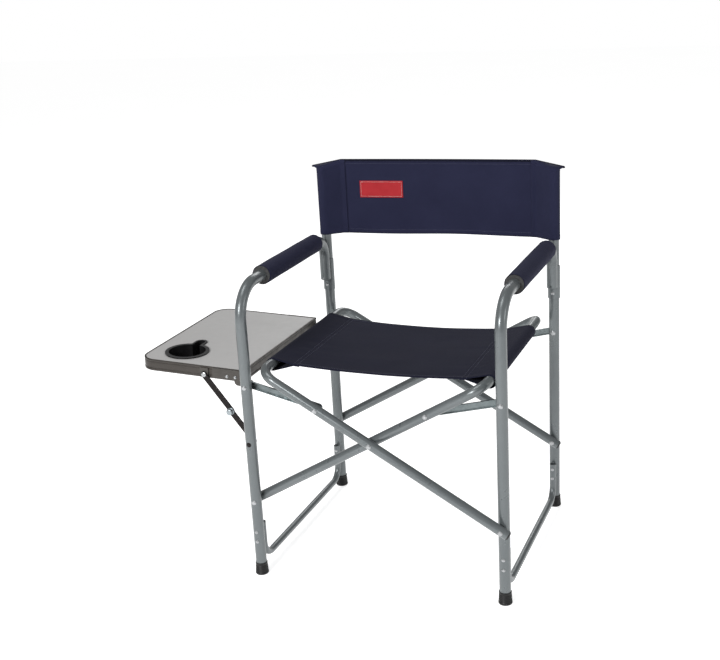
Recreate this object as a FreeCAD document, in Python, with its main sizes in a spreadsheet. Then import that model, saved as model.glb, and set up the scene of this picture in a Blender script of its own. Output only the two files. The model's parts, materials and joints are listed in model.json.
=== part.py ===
import FreeCAD, Part
import os
import re
import Sketcher

# Folding director chair with a drop-leaf side table.
# Frame: origin on the floor under the middle of the whole chair, +Y to the back, +Z up, the side table
# on the -X side.  Millimetres.  The two side frames stand in planes that are leg_stagger apart, so the
# crossed tubes pass beside each other.

DIMENSIONS = [
    # whole chair
    ("seat_centre_x", 114.89), ("front_legs_y", -216.27), ("leg_spacing", 500), ("leg_depth", 432),
    ("leg_stagger", 21), ("leg_tube", 22), ("tube_wall", 1.2), ("upright_top", 748),
    # arms
    ("arm_height", 597), ("arm_front_bend", 65), ("arm_rear_bend", 38), ("arm_tail_gap", 19),
    ("arm_tail_bottom", 505), ("clip_bottom", 478), ("clip_top", 548), ("clip_shell", 2),
    ("clip_play", 0.02),
    ("pad_front", 102), ("pad_length", 262), ("foam_diameter", 36), ("pad_diameter", 39),
    # feet and stretchers
    ("tube_foot_gap", 4), ("foot_height", 26), ("foot_top", 25), ("foot_bottom", 27),
    ("stretcher_tube", 14), ("stretcher_wall", 1.5), ("stretcher_height", 27),
    ("stretcher_bend", 32), ("stretcher_top", 106), ("stretcher_gap", 18),
    ("stretcher_rivet_low", 74), ("stretcher_rivet_high", 95),
    # cross frames
    ("cross_tube", 19), ("cross_angle", 30.2), ("pivot_height", 160), ("rail_offset", 218.4),
    ("rail_bend", 33), ("cross_tail", 14), ("plug_length", 12),
    # links between the side frames and the cross frames
    ("link_height", 402), ("link_reach", 412), ("link_width", 14), ("link_depth", 4.5),
    ("link_wall", 1.2), ("link_gap", 11.3),
    # fasteners
    ("pivot_radius", 3), ("pivot_play", 0.05), ("head_radius", 5), ("head_height", 1.8),
    ("rivet_radius", 2), ("rivet_head", 3.6), ("clip_rivet_low", 490), ("clip_rivet_high", 509),
    # seat and back fabric
    ("fabric", 0.8), ("fabric_gap", 0.5), ("seat_front", 44), ("seat_length", 308),
    ("back_bottom", 603), ("back_height", 161), ("crease_gap", 0.3),
    # side table
    ("table_front", 18.5), ("table_length", 358), ("table_width", 236), ("table_inset", 13.5),
    ("table_height", 23.5), ("table_lift", 2.4), ("table_corner", 34),
    ("trim_wall", 1.5), ("trim_lip", 4), ("board_drop", 1), ("board_thickness", 9),
    ("hinge_plate", 2), ("hinge_plate_left", 82), ("hinge_plate_right", 16), ("hinge_lug", 8),
    ("hinge_rivet_height", 8),
    ("cup_x", -174), ("cup_y", 66), ("cup_rim", 45), ("cup_outer", 39), ("cup_inner", 37.5),
    ("cup_depth", 30), ("cup_floor", 2), ("rim_height", 2.5), ("handle_reach", 72),
    ("handle_rim", 13), ("handle_outer", 10), ("handle_inner", 8.5),
    # table brace
    ("brace_out", 100), ("brace_up", 7), ("brace_foot_drop", 118), ("brace_share", 0.55),
    ("brace_width", 12), ("brace_bar", 2.2), ("brace_gap", 0.3), ("knob_radius", 7.5),
    ("knob_length", 9),
]

size = dict(DIMENSIONS)
document = FreeCAD.newDocument("director_chair")
sheet = document.addObject("Spreadsheet::Sheet", "Dimensions")
for row, (alias, value) in enumerate(DIMENSIONS, start=1):
    sheet.set(f"A{row}", alias)
    sheet.set(f"B{row}", str(value))
    sheet.setAlias(f"B{row}", alias)
document.recompute()

X_AXIS = FreeCAD.Vector(1, 0, 0)
Y_AXIS = FreeCAD.Vector(0, 1, 0)
Z_AXIS = FreeCAD.Vector(0, 0, 1)
HORIZONTAL_AXIS, VERTICAL_AXIS = -1, -2
START, END, CENTRE = 1, 2, 3
SKETCH_ORIGIN = (-1, 1)
parts = {}


def in_sheet(words):
    """The same expression with the sheet's name put before each of its aliases."""
    return re.sub(r"[a-z_]+", lambda word: f"Dimensions.{word[0]}" if word[0] in size else word[0], words)


def amount(words):
    """The number that an expression of sheet aliases has now."""
    return float(sheet.evalExpression(words))


def bind(thing, field, words):
    thing.setExpression(field, in_sheet(words))


def keep(thing, label):
    """Records a finished sub-part under the name of its file."""
    thing.Label = label
    parts[label] = thing
    return thing


def place(thing, x="0", y="0", z="0", axis=Z_AXIS, turn=None):
    """Ties a sub-part's place, and its turn about one axis in degrees, to the sheet."""
    if turn is not None:
        thing.Placement = FreeCAD.Placement(FreeCAD.Vector(), FreeCAD.Rotation(axis, amount(turn)))
        bind(thing, "Placement.Rotation.Angle", f"({turn}) * 1deg")
    for field, words in (("x", x), ("y", y), ("z", z)):
        bind(thing, f"Placement.Base.{field}", words)


# ---- sketches ---------------------------------------------------------------------------------------

def sketch_on(body, role, offset="0"):
    """An empty sketch on one of the body's own origin planes, moved along the plane's normal."""
    plane = next(feature for feature in body.Origin.OriginFeatures if feature.Role == role)
    sketch = body.newObject("Sketcher::SketchObject", "Sketch")
    sketch.AttachmentSupport = [(plane, "")]
    sketch.MapMode = "FlatFace"
    bind(sketch, "AttachmentOffset.Base.z", offset)
    return sketch


def dimension(sketch, kind, items, words):
    index = sketch.addConstraint(Sketcher.Constraint(kind, *items, amount(words)))
    bind(sketch, f"Constraints[{index}]", words)


def fix_point(sketch, point, x=None, y=None):
    """Holds a point at a distance from the sketch's origin, or on its axis where that is 0."""
    for kind, words, axis in (("DistanceX", x, VERTICAL_AXIS), ("DistanceY", y, HORIZONTAL_AXIS)):
        if words is None:
            continue
        if abs(amount(words)) < 1e-9:
            sketch.addConstraint(Sketcher.Constraint("PointOnObject", *point, axis))
        else:
            dimension(sketch, kind, (*SKETCH_ORIGIN, *point), words)


def circle(sketch, radius, x="0", y="0"):
    centre = FreeCAD.Vector(amount(x), amount(y), 0)
    index = sketch.addGeometry(Part.Circle(centre, Z_AXIS, amount(radius)), False)
    dimension(sketch, "Radius", (index,), radius)
    fix_point(sketch, (index, CENTRE), x, y)


def polygon(sketch, corners):
    """A closed outline of straight sides through corners given as pairs of expressions."""
    points = [FreeCAD.Vector(amount(x), amount(y), 0) for x, y in corners]
    first = sketch.GeometryCount
    for number, point in enumerate(points):
        sketch.addGeometry(Part.LineSegment(point, points[(number + 1) % len(points)]), False)
    for number, (x, y) in enumerate(corners):
        following = first + (number + 1) % len(corners)
        sketch.addConstraint(Sketcher.Constraint("Coincident", first + number, END, following, START))
        fix_point(sketch, (first + number, START), x, y)


def rectangle(sketch, left, bottom, right, top):
    polygon(sketch, [(left, bottom), (right, bottom), (right, top), (left, top)])


def bent_line(sketch, corners, bends):
    """A path of level and upright runs with a round bend at each inner corner."""
    points = [FreeCAD.Vector(amount(x), amount(y), 0) for x, y in corners]
    runs = [(after - before).normalize() for before, after in zip(points, points[1:])]
    radii = [amount(bend) for bend in bends]
    lines = []
    for number, run in enumerate(runs):
        begin = points[number] + run * (radii[number - 1] if number > 0 else 0)
        finish = points[number + 1] - run * (radii[number] if number < len(radii) else 0)
        line = sketch.addGeometry(Part.LineSegment(begin, finish), False)
        level = abs(run.x) > abs(run.y)
        sketch.addConstraint(Sketcher.Constraint("Horizontal" if level else "Vertical", line))
        x, y = corners[number]
        fix_point(sketch, (line, START), None if level else x, y if level else None)
        lines.append(line)
    for number, radius in enumerate(radii):
        before, after = runs[number], runs[number + 1]
        corner = points[number + 1]
        centre = corner - before * radius + after * radius
        middle = centre + (corner - centre).normalize() * radius
        arc = Part.Arc(corner - before * radius, middle, corner + after * radius)
        bend = sketch.addGeometry(arc, False)
        turns_left = before.cross(after).z > 0
        near, far = (START, END) if turns_left else (END, START)
        sketch.addConstraint(Sketcher.Constraint("Tangent", lines[number], END, bend, near))
        sketch.addConstraint(Sketcher.Constraint("Tangent", bend, far, lines[number + 1], START))
        dimension(sketch, "Radius", (bend,), bends[number])
    for line, end, (x, y) in ((lines[0], START, corners[0]), (lines[-1], END, corners[-1])):
        run = runs[0] if end == START else runs[-1]
        level = abs(run.x) > abs(run.y)
        fix_point(sketch, (line, end), x if level else None, None if level else y)


def rounded_slot(sketch, length, radius, x="0", y="0"):
    """An outline with two half-round ends, its first end's centre at x, y and its second +length in x."""
    left, low, reach, half = amount(x), amount(y), amount(length), amount(radius)
    near, far = FreeCAD.Vector(left, low, 0), FreeCAD.Vector(left + reach, low, 0)
    up, out = FreeCAD.Vector(0, half, 0), FreeCAD.Vector(half, 0, 0)
    lower = sketch.addGeometry(Part.LineSegment(near - up, far - up), False)
    right = sketch.addGeometry(Part.Arc(far - up, far + out, far + up), False)
    upper = sketch.addGeometry(Part.LineSegment(far + up, near + up), False)
    round_left = sketch.addGeometry(Part.Arc(near + up, near - out, near - up), False)
    for one, other in ((lower, right), (right, upper), (upper, round_left), (round_left, lower)):
        sketch.addConstraint(Sketcher.Constraint("Tangent", one, END, other, START))
    sketch.addConstraint(Sketcher.Constraint("Horizontal", lower))
    dimension(sketch, "Radius", (right,), radius)
    fix_point(sketch, (round_left, CENTRE), x, y)
    dimension(sketch, "DistanceX", (round_left, CENTRE, right, CENTRE), length)


# ---- features ---------------------------------------------------------------------------------------

def new_body(label):
    return keep(document.addObject("PartDesign::Body", label), label)


def pad(body, sketch, length, reverse=False, middle=False):
    feature = body.newObject("PartDesign::Pad", "Pad")
    feature.Profile = sketch
    bind(feature, "Length", length)
    feature.Reversed = reverse
    feature.Midplane = middle
    document.recompute()
    return feature


def pocket(body, sketch, length=None, reverse=False):
    """Cuts the sketch out of the body, right through both ways when no length is given."""
    before = body.Shape.Volume
    feature = body.newObject("PartDesign::Pocket", "Pocket")
    feature.Profile = sketch
    feature.Reversed = reverse
    if length is None:
        feature.Type = "ThroughAll"
        feature.Midplane = True
    else:
        bind(feature, "Length", length)
    document.recompute()
    if body.Shape.Volume > before - 1e-6:
        raise RuntimeError(f"a pocket in {body.Label} cuts nothing")
    return feature


def pipe(body, path, profile):
    feature = body.newObject("PartDesign::AdditivePipe", "AdditivePipe")
    feature.Profile = profile
    feature.Spine = path
    document.recompute()
    return feature


def ring(body, role, offset, radius, wall, x="0", y="0"):
    """The section of a round tube."""
    section = sketch_on(body, role, offset)
    circle(section, radius, x, y)
    circle(section, f"({radius}) - {wall}", x, y)
    return section


def drill(body, radius, holes, start=None, length=None):
    """Holes along Y at the given x and z: through the whole body, or from start over a length."""
    sketch = sketch_on(body, "XZ_Plane", "0" if start is None else f"-({start})")
    for x, z in holes:
        circle(sketch, radius, x, z)
    pocket(body, sketch, length)


def cylinder(radius, length, x, y, z, axis=Y_AXIS, tip=None):
    """A round bar that starts at x, y, z and runs along an axis, or a cone when tip is given."""
    thing = document.addObject("Part::Cone" if tip else "Part::Cylinder", "Round")
    bind(thing, "Radius1" if tip else "Radius", radius)
    if tip:
        bind(thing, "Radius2", tip)
    bind(thing, "Height", length)
    thing.Placement = FreeCAD.Placement(FreeCAD.Vector(), FreeCAD.Rotation(Z_AXIS, axis))
    for field, words in (("x", x), ("y", y), ("z", z)):
        bind(thing, f"Placement.Base.{field}", words)
    return thing


def rivet(x, front, back, z, radius="pivot_radius", head="head_radius"):
    """A rivet along Y whose shank runs from front to back, with a domed head on each end."""
    shank = cylinder(radius, f"({back}) - ({front})", x, front, z)
    heads = [cylinder(head, "head_height", x, front, z, Y_AXIS.negative(), tip=radius),
             cylinder(head, "head_height", x, back, z, Y_AXIS, tip=radius)]
    return [shank, *heads]


def joined(label, pieces):
    fuse = document.addObject("Part::MultiFuse", label)
    fuse.Shapes = pieces
    return keep(fuse, label)


# ---- side frames ------------------------------------------------------------------------------------

LEG = "leg_tube / 2"
CROSS = "cross_tube / 2"
BRACE_FOOT_HEIGHT = "link_height - brace_foot_drop"
SIDES = {"left": "-", "right": "+"}


def side_x(side):
    return f"seat_centre_x {SIDES[side]} leg_spacing / 2"


def side_y(side):
    return f"front_legs_y {SIDES[side]} leg_stagger / 2"


PIVOT_HOLES = ["pivot_height", "link_height"]
BRACE_HOLE = {"left": [BRACE_FOOT_HEIGHT], "right": []}
STRETCHER_RIVETS = ["stretcher_rivet_low", "stretcher_rivet_high"]
CLIP_RIVETS = ["clip_rivet_low", "clip_rivet_high"]


def on_axis(heights):
    """Places on a tube's own axis, for holes drilled along Y."""
    return [("0", height) for height in heights]


def half_ring(sketch, radius, wall, y):
    """Half of a ring round the point 0, y, on its front side."""
    outer, inner, middle = amount(f"{radius} + {wall}"), amount(radius), amount(y)
    vector = FreeCAD.Vector
    big = sketch.addGeometry(Part.Arc(vector(-outer, middle, 0), vector(0, middle - outer, 0),
                                      vector(outer, middle, 0)), False)
    small = sketch.addGeometry(Part.Arc(vector(-inner, middle, 0), vector(0, middle - inner, 0),
                                        vector(inner, middle, 0)), False)
    ends = []
    for sign, side in ((-1, START), (1, END)):
        line = Part.LineSegment(vector(sign * outer, middle, 0), vector(sign * inner, middle, 0))
        end = sketch.addGeometry(line, False)
        sketch.addConstraint(Sketcher.Constraint("Coincident", big, side, end, START))
        sketch.addConstraint(Sketcher.Constraint("Coincident", small, side, end, END))
        sketch.addConstraint(Sketcher.Constraint("Horizontal", end))
        ends.append(end)
    sketch.addConstraint(Sketcher.Constraint("Coincident", big, CENTRE, small, CENTRE))
    fix_point(sketch, (big, CENTRE), "0", y)
    fix_point(sketch, (ends[0], START), y=y)
    fix_point(sketch, (ends[1], START), y=y)
    dimension(sketch, "Radius", (big,), f"{radius} + {wall}")
    dimension(sketch, "Radius", (small,), radius)


def arm_and_front_leg(side):
    """One tube: up the front leg, back along the arm and down, its end pressed round the upright."""
    body = new_body(f"{side}_arm_and_front_leg")
    tail = "leg_depth - arm_tail_gap"
    path = sketch_on(body, "YZ_Plane")
    corners = [("0", "tube_foot_gap"), ("0", "arm_height"), (tail, "arm_height"), (tail, "arm_tail_bottom")]
    bent_line(path, corners, ["arm_front_bend", "arm_rear_bend"])
    pipe(body, path, ring(body, "XY_Plane", "tube_foot_gap", LEG, "tube_wall"))
    clip = sketch_on(body, "XY_Plane", "clip_bottom")
    half_ring(clip, f"{LEG} + clip_play", "clip_shell", "leg_depth")
    pad(body, clip, "clip_top - clip_bottom")
    seat = sketch_on(body, "XY_Plane", "clip_bottom")
    circle(seat, f"{LEG} + clip_play", "0", "leg_depth")
    pocket(body, seat, "arm_height - clip_bottom", reverse=True)
    drill(body, "pivot_radius", on_axis(PIVOT_HOLES + BRACE_HOLE[side]), "-leg_tube", "leg_tube * 2")
    drill(body, "rivet_radius", on_axis(STRETCHER_RIVETS), "-leg_tube", "leg_tube * 2")
    drill(body, "rivet_radius", on_axis(CLIP_RIVETS), "leg_depth - leg_tube * 2", "leg_tube * 2")
    place(body, side_x(side), side_y(side))


def upright(side):
    body = new_body(f"{side}_back_upright")
    pad(body, ring(body, "XY_Plane", "tube_foot_gap", LEG, "tube_wall"), "upright_top - tube_foot_gap")
    drill(body, "pivot_radius", on_axis(PIVOT_HOLES))
    drill(body, "rivet_radius", on_axis(STRETCHER_RIVETS + CLIP_RIVETS))
    place(body, side_x(side), f"{side_y(side)} + leg_depth")


def upright_plug(side):
    body = new_body(f"{side}_upright_plug")
    head = sketch_on(body, "XY_Plane", "upright_top")
    circle(head, LEG)
    pad(body, head, "2")
    stem = sketch_on(body, "XY_Plane", "upright_top - plug_length")
    circle(stem, f"{LEG} - tube_wall")
    pad(body, stem, "plug_length")
    place(body, side_x(side), f"{side_y(side)} + leg_depth")


def stretcher(side):
    """The low tube between the two legs, its turned-up ends lying against them."""
    body = new_body(f"{side}_stretcher")
    near, far = "stretcher_gap", "leg_depth - stretcher_gap"
    path = sketch_on(body, "YZ_Plane")
    corners = [(near, "stretcher_top"), (near, "stretcher_height"), (far, "stretcher_height"),
               (far, "stretcher_top")]
    bent_line(path, corners, ["stretcher_bend", "stretcher_bend"])
    pipe(body, path, ring(body, "XY_Plane", "stretcher_top", "stretcher_tube / 2", "stretcher_wall", "0", near))
    drill(body, "rivet_radius", on_axis(STRETCHER_RIVETS))
    place(body, side_x(side), side_y(side))


def foot(side, end):
    """A flared cap with a flat sole, pushed over the end of the leg."""
    body = new_body(f"{side}_{end}_foot")
    outline = sketch_on(body, "XZ_Plane")
    chamfer = "foot_bottom / 2 - 2"
    polygon(outline, [("0", "0"), (chamfer, "0"), ("foot_bottom / 2", "2.5"),
                      ("foot_top / 2", "foot_height"), (LEG, "foot_height"), (LEG, "tube_foot_gap"),
                      ("0", "tube_foot_gap")])
    turned = body.newObject("PartDesign::Revolution", "Revolution")
    turned.Profile = outline
    turned.ReferenceAxis = (outline, ["V_Axis"])
    turned.Angle = 360
    place(body, side_x(side), side_y(side) if end == "front" else f"{side_y(side)} + leg_depth")


def frame_rivets(side):
    """The small rivets of the stretcher's four ends and of the arm's pressed end."""
    x, y = side_x(side), side_y(side)
    small = ("rivet_radius", "rivet_head")
    pieces = []
    for z in STRETCHER_RIVETS:
        inner = f"{y} + stretcher_gap + stretcher_tube / 2"
        pieces += rivet(x, f"{y} - {LEG}", inner, z, *small)
        outer = f"{y} + leg_depth - stretcher_gap - stretcher_tube / 2"
        pieces += rivet(x, outer, f"{y} + leg_depth + {LEG}", z, *small)
    for z in CLIP_RIVETS:
        front = f"{y} + leg_depth - {LEG} - clip_play - clip_shell"
        pieces += rivet(x, front, f"{y} + leg_depth + {LEG}", z, *small)
    joined(f"{side}_frame_rivets", pieces)


def pivot_rivets(side):
    """The rivets that a cross frame's lower ends, the links and the side table turn on."""
    x, y = side_x(side), side_y(side)
    cross_span = f"leg_stagger + {CROSS} + 0.2"
    pieces = []
    for depth in ("0", "leg_depth"):
        plane = f"{y} + {depth}"
        if side == "left":
            pieces += rivet(x, f"{plane} - {LEG}", f"{plane} + {cross_span}", "pivot_height")
        else:
            pieces += rivet(x, f"{plane} - ({cross_span})", f"{plane} + {LEG}", "pivot_height")
        front, back = f"{plane} - {LEG}", f"{plane} + link_gap + link_depth + 0.2"
        if side == "left" and depth == "0":
            back = f"{plane} + table_front + 0.2"
        if side == "left" and depth != "0":
            front = f"{y} + table_front + table_length - 0.2"
        pieces += rivet(x, front, back, "link_height")
    joined(f"{side}_pivot_rivets", pieces)


def arm_pad(side):
    """The foam sleeve round the arm and the fabric sewn over it."""
    for label, outer, inner in (("arm_foam", "foam_diameter / 2", LEG),
                                ("arm_cover", "pad_diameter / 2", "foam_diameter / 2")):
        body = new_body(f"{side}_{label}")
        section = sketch_on(body, "XZ_Plane")
        circle(section, outer)
        circle(section, inner)
        pad(body, section, "pad_length", reverse=True)
        place(body, side_x(side), f"{side_y(side)} + pad_front", "arm_height")


def back_sleeve(side):
    """The pocket of the back that slips over the upright."""
    body = new_body(f"{side}_back_sleeve")
    pad(body, ring(body, "XY_Plane", "back_bottom", f"{LEG} + fabric", "fabric"), "back_height")
    place(body, side_x(side), f"{side_y(side)} + leg_depth")


# ---- cross frames and links -------------------------------------------------------------------------

# Each cross frame is drawn flat: its x is the distance from the lower pivots towards the rail.
CROSS_FRAMES = {
    # name: (side of its lower pivots, turn about Y that lays its x along the tube)
    "left_rail_cross_frame": ("right", "cross_angle - 180"),
    "right_rail_cross_frame": ("left", "-cross_angle"),
}
RAIL_REACH = "(leg_spacing / 2 + rail_offset) / cos(cross_angle)"
SCISSOR_REACH = "leg_spacing / 2 / cos(cross_angle)"


def cross_plane(name):
    """The y of the frame's front tube: the tube passes beside the legs that it is hinged to."""
    hinged = CROSS_FRAMES[name][0]
    return side_y("left" if hinged == "right" else "right")


def cross_frame(name):
    """A U of tube: a sloping front leg, the seat rail and a sloping back leg."""
    hinged, turn = CROSS_FRAMES[name]
    body = new_body(name)
    tail = "-cross_tail"
    path = sketch_on(body, "XY_Plane")
    corners = [(tail, "0"), (RAIL_REACH, "0"), (RAIL_REACH, "leg_depth"), (tail, "leg_depth")]
    bent_line(path, corners, ["rail_bend", "rail_bend"])
    pipe(body, path, ring(body, "YZ_Plane", tail, CROSS, "tube_wall"))
    drill(body, "pivot_radius + pivot_play", [("0", "0"), (SCISSOR_REACH, "0"), ("link_reach", "0")])
    place(body, side_x(hinged), cross_plane(name), "pivot_height", Y_AXIS, turn)


def cross_plugs(name):
    """Rounded plugs in the two lower ends of a cross frame."""
    hinged, turn = CROSS_FRAMES[name]
    pieces = []
    for depth in ("0", "leg_depth"):
        stem = cylinder(f"{CROSS} - tube_wall", "plug_length - 4", "-cross_tail", depth, "0", X_AXIS)
        dome = cylinder(CROSS, "3", "-cross_tail", depth, "0", X_AXIS.negative(), tip=f"{CROSS} - 3")
        pieces += [stem, dome]
    plugs = joined(f"{name}_plugs", pieces)
    place(plugs, side_x(hinged), cross_plane(name), "pivot_height", Y_AXIS, turn)


def link(side, end):
    """A shallow channel from the side frame to the cross frame that carries this side's rail."""
    body = new_body(f"{side}_{end}_link")
    half = "link_width / 2"
    span = link_span()
    outline = sketch_on(body, "XZ_Plane")
    rounded_slot(outline, span, half)
    pad(body, outline, "link_depth", reverse=True)
    groove = sketch_on(body, "XZ_Plane")
    rounded_slot(groove, span, f"{half} - link_wall")
    pocket(body, groove, "link_depth - link_wall")
    drill(body, "pivot_radius + pivot_play", [("0", "0"), (span, "0")])
    depth = "0" if end == "front" else "leg_depth"
    place(body, side_x(side), f"{side_y(side)} + {depth} + link_gap", "link_height", Y_AXIS, link_turn(side))


def link_run():
    """How far the link reaches sideways, and how far it falls, from the leg to the cross frame."""
    across = "(leg_spacing - link_reach * cos(cross_angle))"
    down = "(link_height - pivot_height - link_reach * sin(cross_angle))"
    return across, down


def link_span():
    across, down = link_run()
    return f"sqrt({across} ^ 2 + {down} ^ 2)"


def link_turn(side):
    across, down = link_run()
    slope = f"atan({down} / {across}) / 1deg"
    return slope if side == "left" else f"180 - {slope}"


def link_end_rivets(side):
    """The rivet heads on the links' free ends."""
    pieces = []
    for depth in ("0", "leg_depth"):
        front = f"{depth} + link_gap + link_depth - link_wall"
        pieces.append(cylinder("pivot_radius", "link_wall", link_span(), front, "0"))
        back = f"{depth} + link_gap + link_depth"
        pieces.append(cylinder("head_radius", "head_height", link_span(), back, "0", tip="pivot_radius"))
    rivets = joined(f"{side}_link_end_rivets", pieces)
    place(rivets, side_x(side), side_y(side), "link_height", Y_AXIS, link_turn(side))


def cross_rivets(name):
    """The heads of the link pivots on this frame, and on one frame the rivets where the two cross."""
    hinged, turn = CROSS_FRAMES[name]
    pieces = []
    for depth in ("0", "leg_depth"):
        pieces += rivet("link_reach", f"{depth} - {CROSS} - 0.2", f"{depth} + {CROSS}", "0")[:2]
        if name == "left_rail_cross_frame":
            far = f"{depth} + leg_stagger + {CROSS} + 0.2"
            pieces += rivet(SCISSOR_REACH, f"{depth} - {CROSS} - 0.2", far, "0")
    rivets = joined(f"{name}_rivets", pieces)
    place(rivets, side_x(hinged), cross_plane(name), "pivot_height", Y_AXIS, turn)


RAIL_HEIGHT = "pivot_height + (leg_spacing / 2 + rail_offset) * tan(cross_angle)"
SEAT_FRONT_Y = "front_legs_y + seat_front"


def seat_sleeve(side):
    """The pocket of the seat that slips over one rail."""
    body = new_body(f"{side}_seat_sleeve")
    section = sketch_on(body, "XZ_Plane")
    circle(section, f"{CROSS} + fabric")
    circle(section, CROSS)
    pad(body, section, "seat_length", reverse=True)
    place(body, f"seat_centre_x {SIDES[side]} rail_offset", SEAT_FRONT_Y, RAIL_HEIGHT)


def seat_panel(side):
    """Half of the seat, level with the rails, from its rail's pocket to the crease in the middle."""
    body = new_body(f"{side}_seat_panel")
    section = sketch_on(body, "XZ_Plane")
    near = f"{CROSS} + fabric + fabric_gap"
    rectangle(section, near, "-fabric / 2", "rail_offset - crease_gap", "fabric / 2")
    pad(body, section, "seat_length", reverse=side == "left")
    if side == "left":
        place(body, "seat_centre_x - rail_offset", SEAT_FRONT_Y, RAIL_HEIGHT, Z_AXIS, "0")
    else:
        place(body, "seat_centre_x + rail_offset", SEAT_FRONT_Y, RAIL_HEIGHT, Z_AXIS, "180")


# The back's plane lies behind both uprights, so it is turned by the stagger of the side frames.
BACK_TURN = "atan(leg_stagger / leg_spacing) / 1deg"
BACK_HALF = "sqrt(leg_spacing ^ 2 + leg_stagger ^ 2) / 2"


def back_panel(side):
    """Half of the back, from behind its upright to the crease in the middle."""
    body = new_body(f"{side}_back_panel")
    section = sketch_on(body, "XY_Plane", "back_bottom")
    near = f"{LEG} + fabric + fabric_gap"
    if side == "left":
        rectangle(section, "0", near, f"{BACK_HALF} - crease_gap", f"{near} + fabric")
    else:
        rectangle(section, f"crease_gap - {BACK_HALF}", near, "0", f"{near} + fabric")
    pad(body, section, "back_height")
    place(body, side_x(side), f"{side_y(side)} + leg_depth", "0", Z_AXIS, BACK_TURN)


# ---- side table -------------------------------------------------------------------------------------

# Table parts are drawn level from the hinge line, with y from the table's front edge, and all share
# one placement on the hinge, tipped up by table_lift.
TABLE_LEFT = "-table_inset - table_width"
TABLE_TOP = "table_height"


def place_on_table(thing):
    place(thing, side_x("left"), f"{side_y('left')} + table_front", "link_height", Y_AXIS, "table_lift")


def table_outline(sketch, inset):
    """The table's outline, rounded at the two outer corners, drawn a distance inside its edge."""
    left, right = f"{TABLE_LEFT} + {inset}", f"-table_inset - {inset}"
    low, high = inset, f"table_length - {inset}"
    radius = f"table_corner - {inset}"
    x_left, x_right = amount(left), amount(right)
    y_low, y_high, bend = amount(low), amount(high), amount(radius)
    vector = FreeCAD.Vector
    lines = [(vector(x_left + bend, y_low, 0), vector(x_right, y_low, 0)),
             (vector(x_right, y_low, 0), vector(x_right, y_high, 0)),
             (vector(x_right, y_high, 0), vector(x_left + bend, y_high, 0)),
             (vector(x_left, y_high - bend, 0), vector(x_left, y_low + bend, 0))]
    front, inner, back, outer = [sketch.addGeometry(Part.LineSegment(*line), False) for line in lines]
    slant = bend * (1 - 0.5 ** 0.5)
    back_bend = sketch.addGeometry(Part.Arc(lines[2][1], vector(x_left + slant, y_high - slant, 0),
                                            lines[3][0]), False)
    front_bend = sketch.addGeometry(Part.Arc(lines[3][1], vector(x_left + slant, y_low + slant, 0),
                                             lines[0][0]), False)
    for one, other in ((front, inner), (inner, back)):
        sketch.addConstraint(Sketcher.Constraint("Coincident", one, END, other, START))
    for one, other in ((back, back_bend), (back_bend, outer), (outer, front_bend), (front_bend, front)):
        sketch.addConstraint(Sketcher.Constraint("Tangent", one, END, other, START))
    for kind, line in (("Horizontal", front), ("Vertical", inner), ("Horizontal", back), ("Vertical", outer)):
        sketch.addConstraint(Sketcher.Constraint(kind, line))
    fix_point(sketch, (inner, START), right, low)
    fix_point(sketch, (inner, END), y=high)
    fix_point(sketch, (outer, START), left)
    dimension(sketch, "Radius", (back_bend,), radius)
    dimension(sketch, "Radius", (front_bend,), radius)


def cup_hole(sketch, radius, handle_radius):
    """The cup holder's outline: a circle and the slot for a mug's handle, joined by straight sides."""
    vector = FreeCAD.Vector
    x, y, reach = amount("cup_x"), amount("cup_y"), amount("handle_reach")
    big, small = amount(radius), amount(handle_radius)
    rise = (big ** 2 - small ** 2) ** 0.5
    tip = y + reach - amount("handle_rim")
    circle_arc = sketch.addGeometry(Part.Arc(vector(x - small, y + rise, 0), vector(x, y - big, 0),
                                             vector(x + small, y + rise, 0)), False)
    right = sketch.addGeometry(Part.LineSegment(vector(x + small, y + rise, 0),
                                                vector(x + small, tip, 0)), False)
    end = sketch.addGeometry(Part.Arc(vector(x + small, tip, 0), vector(x, tip + small, 0),
                                      vector(x - small, tip, 0)), False)
    left = sketch.addGeometry(Part.LineSegment(vector(x - small, tip, 0),
                                               vector(x - small, y + rise, 0)), False)
    sketch.addConstraint(Sketcher.Constraint("Coincident", circle_arc, END, right, START))
    sketch.addConstraint(Sketcher.Constraint("Coincident", left, END, circle_arc, START))
    sketch.addConstraint(Sketcher.Constraint("Tangent", right, END, end, START))
    sketch.addConstraint(Sketcher.Constraint("Tangent", end, END, left, START))
    sketch.addConstraint(Sketcher.Constraint("Vertical", right))
    fix_point(sketch, (circle_arc, CENTRE), "cup_x", "cup_y")
    fix_point(sketch, (end, CENTRE), "cup_x", "cup_y + handle_reach - handle_rim")
    dimension(sketch, "Radius", (circle_arc,), radius)
    dimension(sketch, "Radius", (end,), handle_radius)


def table_board():
    body = new_body("table_board")
    top = f"{TABLE_TOP} - board_drop"
    outline = sketch_on(body, "XY_Plane", top)
    table_outline(outline, "trim_wall")
    pad(body, outline, "board_thickness", reverse=True)
    hole = sketch_on(body, "XY_Plane", top)
    cup_hole(hole, "cup_outer", "handle_outer")
    pocket(body, hole)
    place_on_table(body)


def table_trim():
    """The aluminium edge: a channel that holds the board between its wall and an inner lip."""
    body = new_body("table_edge_trim")
    outline = sketch_on(body, "XY_Plane")
    table_outline(outline, "0")
    pad(body, outline, "table_height")
    bed = sketch_on(body, "XY_Plane", TABLE_TOP)
    table_outline(bed, "trim_wall")
    pocket(body, bed, "board_drop + board_thickness")
    inside = sketch_on(body, "XY_Plane", TABLE_TOP)
    table_outline(inside, "trim_wall + trim_lip")
    pocket(body, inside, "table_height")
    place_on_table(body)


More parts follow.
